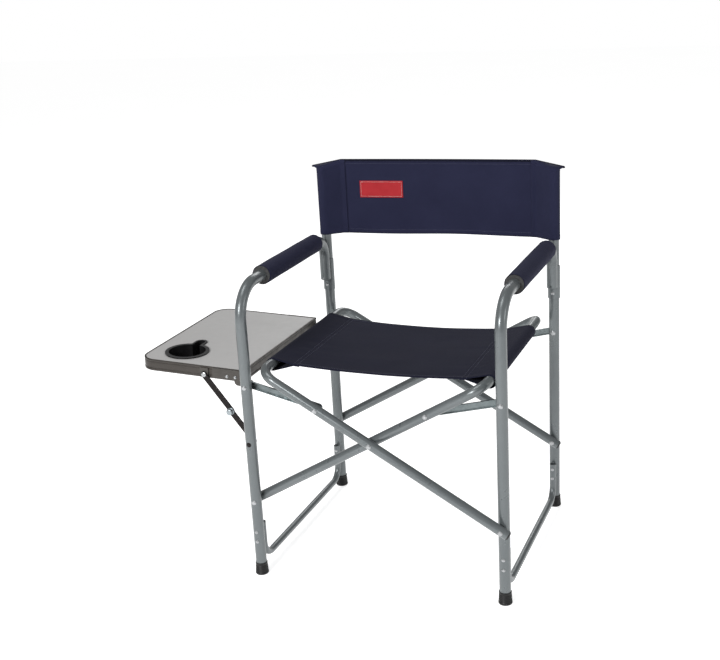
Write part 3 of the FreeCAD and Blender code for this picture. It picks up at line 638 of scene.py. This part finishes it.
def make_back():
    """The back is one band behind the posts, each end turned forward round its post and sewn down."""
    reach, along_axis, behind = back_axes()
    radius, seam, tail = 12.6 * MM, 38 * MM, 10 * MM
    layer = 0.7 * MM
    join = Vector((seam, radius - 2 * layer))
    touch = math.degrees(math.atan2(join.y, join.x) - math.acos(radius / join.length))
    around = arc(Vector((0, 0)), radius, touch, -270, 44)
    left = [Vector((seam + tail, join.y)), join, *around]
    right = [Vector((reach - point.x, point.y)) for point in reversed(left)]
    sheet = [Vector((reach * step / 80, radius)) for step in range(1, 80)]
    height = BACK_HIGH[2] - BACK_LOW[2]
    origin = Vector((POST["left"].x, POST["left"].y, BACK_LOW[2]))
    length = reaches(left + sheet + right)[-1]
    turn = reaches(left)[-1]
    loop = (turn + seam - tail) / 2
    post_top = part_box("left_upright_plug")[1][2] + 0.8 * MM - BACK_LOW[2]
    slope = 11 * MM

    def place(point, along, across):
        share = min(max((point.x - 20 * MM) / (reach - 40 * MM), 0), 1)
        inner = math.sin(math.pi * share) if point.y > radius - 0.5 * MM else 0.0
        bow = inner * (3.2 + 1.6 * (1 - across)) * MM
        wave = inner * 0.9 * MM * noise.noise(Vector((point.x * 9, across * 3, 7.0)))
        dip = math.sin(2.2 * math.pi * share + 0.4) * inner * 1.6 * MM * (1 - across) ** 3
        tension = (math.exp(-max(point.x - seam, 0) / 0.03)
                   + math.exp(-max(reach - seam - point.x, 0) / 0.03))
        ripple = inner * tension * 0.5 * MM * math.sin(across * 23 + 0.6)
        inboard, deep = point.x, point.y + bow + wave + ripple
        rise = height * across - dip
        on_left = along < 0.5
        spent = (along if on_left else 1 - along) * length
        if tail < spent < turn + seam:
            # the pocket closes above its post: both layers meet in a seam that falls to the outside
            outward = min(spent - tail, turn + seam - spent)
            share_out = outward / loop
            front = spent - tail < loop
            rise = (height - slope * share_out) * across
            top = height - slope * share_out
            close = min(max((rise - post_top) / (top - post_top), 0), 1)
            open_share = math.sqrt(1 - close ** 2)
            seam_depth = (radius - layer) * (1 - share_out) + (-layer if front else layer)
            flat = seam - outward
            flat = flat if on_left else reach - flat
            inboard = flat + (inboard - flat) * open_share
            deep = seam_depth + (deep - seam_depth) * open_share
        spot = origin + along_axis * inboard + behind * deep
        return spot + Vector((0, 0, rise))

    ribbon = Ribbon(left + sheet + right, height, place, CLOTH_THICKNESS)
    cloth = ribbon.build("back_cloth", CLOTH, HEM)
    first, last = turn + seam, ribbon.length - turn - seam
    rows = [((mark, 2 * MM), (mark, height - 4 * MM))
            for mark in (first - 2 * MM, first + 7 * MM, last + 2 * MM, last - 7 * MM)]
    rows += [((first + 8 * MM, edge), (last - 8 * MM, edge))
             for edge in (HEM * 0.8, height - HEM * 0.8)]
    threads = ribbon.stitches("back_stitching", rows, THREAD)
    outer = tail + loop
    binding = make_binding(ribbon, outer, behind, layer, (first, last))
    for piece in (cloth, threads, binding):
        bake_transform(piece)
    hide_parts("left_back_panel", "right_back_panel", "left_back_sleeve", "right_back_sleeve")
    label, border = make_label(ribbon, turn, height)


def make_binding(ribbon, outer, behind, layer, seams):
    """The folded tape along the top edge, from one pocket's outer end to the other's.  Its darker navy
    is painted shade along the edge.
    """
    section = [(-1.7, -3.4), (-1.75, 0.2), (-1.3, 0.9), (0, 1.2),
               (1.3, 0.9), (1.75, 0.2), (1.7, -3.4), (0, -3.6)]
    build = bmesh.new()
    flat = build.loops.layers.uv.new("flat")
    count = round((ribbon.length - 2 * outer) / (2.5 * MM))
    rings, sizes = [], {}
    for step in range(count + 1):
        along = outer + (ribbon.length - 2 * outer) * step / count
        past_seam = max(seams[0] - along, along - seams[1], 0)
        share = min(past_seam / (seams[0] - outer), 1)
        centre = ribbon.at(along, 1.0) - behind * layer * min(share * 8, 1)
        shrink = 1.0 if 0 < step < count else 0.6
        ring = []
        for number, (side, lift) in enumerate(section):
            offset = behind * side * MM * shrink + Vector((0, 0, lift * MM * shrink))
            corner = build.verts.new(centre + offset)
            sizes[corner] = (along, number * 1.6 * MM)
            ring.append(corner)
        rings.append(ring)
    for low, high in zip(rings, rings[1:]):
        for number in range(len(section)):
            follow = (number + 1) % len(section)
            build.faces.new((low[number], low[follow], high[follow], high[number]))
    build.faces.new(rings[0])
    build.faces.new(rings[-1])
    bmesh.ops.recalc_face_normals(build, faces=build.faces)
    for face in build.faces:
        for loop in face.loops:
            loop[flat].uv = sizes[loop.vert]
    # The tape takes the darkened copy of the navy cloth, painted shade.
    return add_built("back_binding", build, PAINTED_SHADE_BINDING)


def make_label(ribbon, turn, height):
    """A plain woven label sewn on the left of the band's front, where the real one carries a mark."""
    start, finish = turn + 79 * MM, turn + 175 * MM
    low, high = height * 0.49, height * 0.715
    face = CLOTH_THICKNESS * 0.3
    columns, rows = 28, 14

    def on_front(along, across, lift):
        """A point that far in front of the band's surface, and the direction out of it."""
        out = ribbon.normal(along, across / height)
        front = out if out.y < 0 else -out
        return ribbon.at(along, across / height) + front * lift, front

    mesh = bpy.data.meshes.new("back_label")
    points, sizes = [], []
    for row in range(rows + 1):
        for column in range(columns + 1):
            along = start + (finish - start) * column / columns
            across = low + (high - low) * row / rows
            points.append(on_front(along, across, face + 0.5 * MM)[0])
            sizes.append((along, across))
    faces = []
    for row in range(rows):
        for column in range(columns):
            corner = row * (columns + 1) + column
            faces.append((corner, corner + 1, corner + columns + 2, corner + columns + 1))
    mesh.from_pydata(points, [], faces)
    layer = mesh.uv_layers.new(name="flat")
    for loop in mesh.loops:
        layer.data[loop.index].uv = sizes[loop.vertex_index]
    label = add_object("back_label", mesh, label_material())
    thicken(label, 0.7 * MM)
    inset = 2.6 * MM
    build = bmesh.new()
    corners = [(start + inset, low + inset), (finish - inset, low + inset),
               (finish - inset, high - inset), (start + inset, high - inset)]
    for begin, end in zip(corners, corners[1:] + corners[:1]):
        run = math.hypot(end[0] - begin[0], end[1] - begin[1])
        count = int(run / (2.6 * MM))
        for step in range(count):
            share = (step + 0.5) / count
            along = begin[0] + (end[0] - begin[0]) * share
            across = begin[1] + (end[1] - begin[1]) * share
            spot, front = on_front(along, across, face + 0.95 * MM)
            next_along = along + (end[0] - begin[0]) * 0.01
            next_across = across + (end[1] - begin[1]) * 0.01
            heading = ribbon.at(next_along, next_across / height) - ribbon.at(along, across / height)
            thread(build, spot, heading, front, 1.9 * MM)
    border = add_built("label_stitching", build, pale_thread())
    for piece in (label, border):
        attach(piece, "back_left_half")
    return label, border


# ---- arm pads -------------------------------------------------------------------------------------

def make_arm_pad(side):
    """Cloth sewn tight over the foam: turned in at both ends, with a seam along the underside."""
    low, high = box_of(f"{side}_arm_cover")
    centre = (low + high) / 2
    length = high.y - low.y
    outer = (high.x - low.x) / 2
    around, steps = 72, 90
    lip = 2.2 * MM
    inner = outer - 1.35 * MM
    profile = [(inner, 7 * MM), (inner, 2 * MM)]
    profile += [(inner + (outer - 0.4 * MM - inner) * share, lip * (1 - share) ** 2)
                for share in (0.25, 0.6, 1.0)]
    stations = list(profile)
    for step in range(steps + 1):
        depth = 2 * MM + (length - 4 * MM) * step / steps
        swell = 1 - (2 * step / steps - 1) ** 8
        stations.append((outer - 0.35 * MM + 0.35 * MM * swell, depth))
    stations += [(radius, length - depth) for radius, depth in reversed(profile)]
    seam_sinks = 0.3 * MM
    mesh = bpy.data.meshes.new(f"arm_pad_{side}")
    points, flats = [], []
    reach = 0.0
    phase = 0.0 if side == "left" else 4.0
    for number, (radius, depth) in enumerate(stations):
        if number:
            reach += math.hypot(radius - stations[number - 1][0], depth - stations[number - 1][1])
        for step in range(around):
            angle = 2 * math.pi * step / around
            skin = radius > inner + 0.6 * MM
            below = math.exp(-((math.degrees(angle) - 270) / 7) ** 2)
            fold = noise.noise(Vector((math.cos(angle) * 2, math.sin(angle) * 2, depth * 26 + phase)))
            near_end = math.exp(-min(depth, length - depth) / 0.02)
            pleat = 0.35 * MM * near_end * math.sin(angle * 11 + phase)
            size = radius + (0.35 * MM * fold + pleat - seam_sinks * below if skin else 0)
            size = min(size, outer + 0.3 * MM)
            points.append(Vector((centre.x + size * math.cos(angle), low.y + depth,
                                  centre.z + size * math.sin(angle))))
            flats.append((outer * angle, reach))
    faces = []
    for ring in range(len(stations) - 1):
        for step in range(around):
            follow = (step + 1) % around
            faces.append((ring * around + step, (ring + 1) * around + step,
                          (ring + 1) * around + follow, ring * around + follow))
    mesh.from_pydata(points, [], faces)
    layer = mesh.uv_layers.new(name="flat")
    for polygon in mesh.polygons:
        wraps = max(flats[vertex][0] for vertex in polygon.vertices) > outer * 6
        for loop in polygon.loop_indices:
            flat = flats[mesh.loops[loop].vertex_index]
            turn = 2 * math.pi * outer if wraps and flat[0] < outer else 0
            layer.data[loop].uv = (flat[0] + turn, flat[1])
    pad = add_object(f"arm_pad_{side}", mesh, CLOTH)
    thicken(pad, 0.7 * MM, -1)
    build = bmesh.new()
    pitch = 3.6 * MM
    for angle in (math.radians(262), math.radians(278)):
        out = Vector((math.cos(angle), 0, math.sin(angle)))
        for number in range(int((length - 12 * MM) / pitch)):
            depth = 7 * MM + number * pitch
            spot = Vector((centre.x, low.y + depth, centre.z)) + out * (outer - 0.05 * MM)
            thread(build, spot, Vector((0, 1, 0)), out, 2.6 * MM)
    threads = add_built(f"arm_pad_stitching_{side}", build, THREAD)
    for piece in (pad, threads):
        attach(piece, f"{side}_side_frame")
    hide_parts(f"{side}_arm_cover")


# ---- feet -----------------------------------------------------------------------------------------

def make_foot(side, end):
    """A ribbed cap that flares to a round sole."""
    node = f"{side}_{end}_foot"
    low, high = box_of(node)
    sole = (high.x - low.x) / 2
    top = sole - 1 * MM
    height = high.z - low.z
    bore = 11.05 * MM
    profile = [(0, 0), (sole - 2.4 * MM, 0), (sole - 0.8 * MM, 0.5 * MM), (sole, 2 * MM),
               (sole, 4.4 * MM), (sole - 0.5 * MM, 5.2 * MM)]
    ribs = 5
    for rib in range(ribs):
        start = 6 * MM + rib * 3.4 * MM
        radius = sole - 0.5 * MM - (sole - top) * rib / ribs
        profile += [(radius - 0.9 * MM, start), (radius - 0.9 * MM, start + 0.9 * MM),
                    (radius, start + 1.5 * MM), (radius, start + 2.7 * MM)]
    profile += [(top - 0.4 * MM, height - 2.6 * MM), (top - 0.1 * MM, height - 1.8 * MM),
                (top - 0.2 * MM, height - 0.6 * MM), (top - 1 * MM, height), (bore, height),
                (bore, height - 6 * MM), (0, height - 6 * MM)]
    base = Vector((middle(node).x, middle(node).y, 0))
    foot = turned(f"foot_{side}_{end}", profile, base, (0, 0, 1), PLASTIC)
    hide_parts(node)
    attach(foot, f"{side}_side_frame")


# ---- side table -----------------------------------------------------------------------------------

TABLE_LIFT = math.radians(2.4)
TABLE_INNER, TABLE_WIDTH = 13.5 * MM, 236 * MM
TABLE_HEIGHT, TABLE_CORNER = 23.5 * MM, 34 * MM


def on_table(x, y, z):
    """From the table's own flat coordinates to the chair's: x from the hinge, y from its front edge."""
    hinge = pivot("table_fold")
    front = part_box("table_edge_trim")[0][1]
    turn = Matrix.Rotation(TABLE_LIFT, 3, "Y")
    return turn @ Vector((x, 0, z)) + Vector((hinge.x, front + y, hinge.z))


def table_path():
    """The table's outline as points with outward directions, square at the inner corners."""
    low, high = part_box("table_edge_trim")
    length = high[1] - low[1]
    left, right = -TABLE_INNER - TABLE_WIDTH, -TABLE_INNER
    bend = TABLE_CORNER
    path = [(Vector((right, 0)), Vector((1, -1)))]
    steps = 24
    path += [(Vector((right - (right - left - bend) * share / steps, 0)), Vector((0, -1)))
             for share in range(1, steps)]
    outer_corners = ((Vector((left + bend, bend)), 270), (Vector((left + bend, length - bend)), 180))
    for centre, start in outer_corners:
        for step in range(17):
            angle = math.radians(start - 90 * step / 16)
            out = Vector((math.cos(angle), math.sin(angle)))
            path.append((centre + out * bend, out))
        if start == 270:
            path += [(Vector((left, bend + (length - 2 * bend) * step / steps)), Vector((-1, 0)))
                     for step in range(1, steps)]
    path += [(Vector((left + bend + (right - left - bend) * step / steps, length)), Vector((0, 1)))
             for step in range(1, steps)]
    path.append((Vector((right, length)), Vector((1, 1))))
    path += [(Vector((right, length - length * step / steps)), Vector((1, 0)))
             for step in range(1, steps)]
    return path


def make_table_trim():
    """The drawn edge: a beaded channel with two grooves and a lip over the board."""
    drawn_height = 22
    section = [(0.6, 0), (0.1, 0.5), (0, 1.4), (0, 3.6), (0.25, 4.1), (0.95, 4.5), (0.95, 5.5),
               (0.45, 6.0), (0.35, 7.0), (0.35, 15.6), (0.45, 16.6), (0.95, 17.0), (0.95, 17.9),
               (0.2, 18.4), (0, 19.2), (0, 20.6), (0.25, 21.4), (0.9, 21.85), (2.8, 22.0),
               (3.5, 21.7), (3.7, 21.07), (1.5, 21.0), (1.5, 1.3), (5.4, 1.3), (5.4, 0)]
    build = bmesh.new()
    rings = []
    for point, out in table_path():
        ring = []
        for inset, height in section:
            flat = point - out * inset * MM
            lift = TABLE_HEIGHT * height / drawn_height
            ring.append(build.verts.new(on_table(flat.x, flat.y, lift)))
        rings.append(ring)
    count = len(section)
    for number, ring in enumerate(rings):
        after = rings[(number + 1) % len(rings)]
        for step in range(count):
            follow = (step + 1) % count
            build.faces.new((ring[step], after[step], after[follow], ring[follow]))
    bmesh.ops.recalc_face_normals(build, faces=build.faces)
    trim = add_built("table_trim", build, TRIM)
    trim.data.set_sharp_from_angle(angle=math.radians(32))
    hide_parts("table_edge_trim")
    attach(trim, "side_table")


def make_knee_nut():
    """The bright round nut on the brace's knee, fluted for the fingers."""
    low, high = box_of("brace_knee_nut")
    base = Vector(((low.x + high.x) / 2, high.y, (low.z + high.z) / 2))
    radius = (high.x - low.x) / 2
    deep = high.y - low.y
    profile = [(0, 0), (radius, 0), (radius, 0.9 * MM), (radius - 0.5 * MM, 1.6 * MM),
               (radius * 0.66, 1.9 * MM), (radius * 0.66, 2.3 * MM), (radius * 0.86, 2.7 * MM),
               (radius * 0.9, 3.6 * MM), (radius * 0.9, deep - 1.9 * MM),
               (radius * 0.82, deep - 0.8 * MM), (radius * 0.6, deep - 0.15 * MM),
               (radius * 0.3, deep), (0, deep)]
    nut = turned("knee_nut", profile, base, (0, -1, 0), ZINC)
    for vertex in nut.data.vertices:
        away = vertex.co - base
        depth = abs(away.y)
        away.y = 0
        if depth > 2.5 * MM and away.length > radius * 0.75:
            flute = math.cos(14 * math.atan2(away.z, away.x))
            vertex.co -= away.normalized() * 0.35 * MM * (1 - flute)
    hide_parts("brace_knee_nut")
    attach(nut, "lower_brace")


# ---- build ----------------------------------------------------------------------------------------

make_camera()
make_studio()

# node, material, and the width of its rounded edges in millimetres
SIDE_LOOKS = (
    ("arm_and_front_leg", TUBE, 0), ("back_upright", TUBE, 0), ("stretcher", TUBE, 0),
    ("rail_cross_frame", TUBE, 0), ("upright_plug", PLASTIC, 0.8),
    ("rail_cross_frame_plugs", PLASTIC, 0.6), ("frame_rivets", RIVET, 0.5),
    ("pivot_rivets", RIVET, 0.6), ("rail_cross_frame_rivets", RIVET, 0.6),
    ("link_end_rivets", RIVET, 0.6), ("arm_foam", FOAM, 1.0),
    ("front_link", LINK_ZINC, 0.4), ("rear_link", LINK_ZINC, 0.4),
)
TABLE_LOOKS = (
    ("table_board", BOARD, 0.3), ("cup_holder", CUP_PLASTIC, 0.7), ("table_rivets", RIVET, 0.5),
    ("brace_foot_pin", BLACK_STEEL, 0.5), ("table_front_hinge_plate", STRAP, 0.4),
    ("table_rear_hinge_plate", STRAP, 0.4), ("table_brace_bracket", STRAP, 0.4),
    ("brace_upper_bar", BLACK_STEEL, 0.5), ("brace_lower_bar", BLACK_STEEL, 0.5),
)
for frame_side in ("left", "right"):
    for look_node, look, edge_width in SIDE_LOOKS:
        dress(f"{frame_side}_{look_node}", look, edge_width * MM)
    for frame_end in ("front", "rear"):
        make_foot(frame_side, frame_end)
    make_arm_pad(frame_side)
for look_node, look, edge_width in TABLE_LOOKS:
    dress(look_node, look, edge_width * MM)
make_knee_nut()
make_table_trim()
make_seat()
make_back()
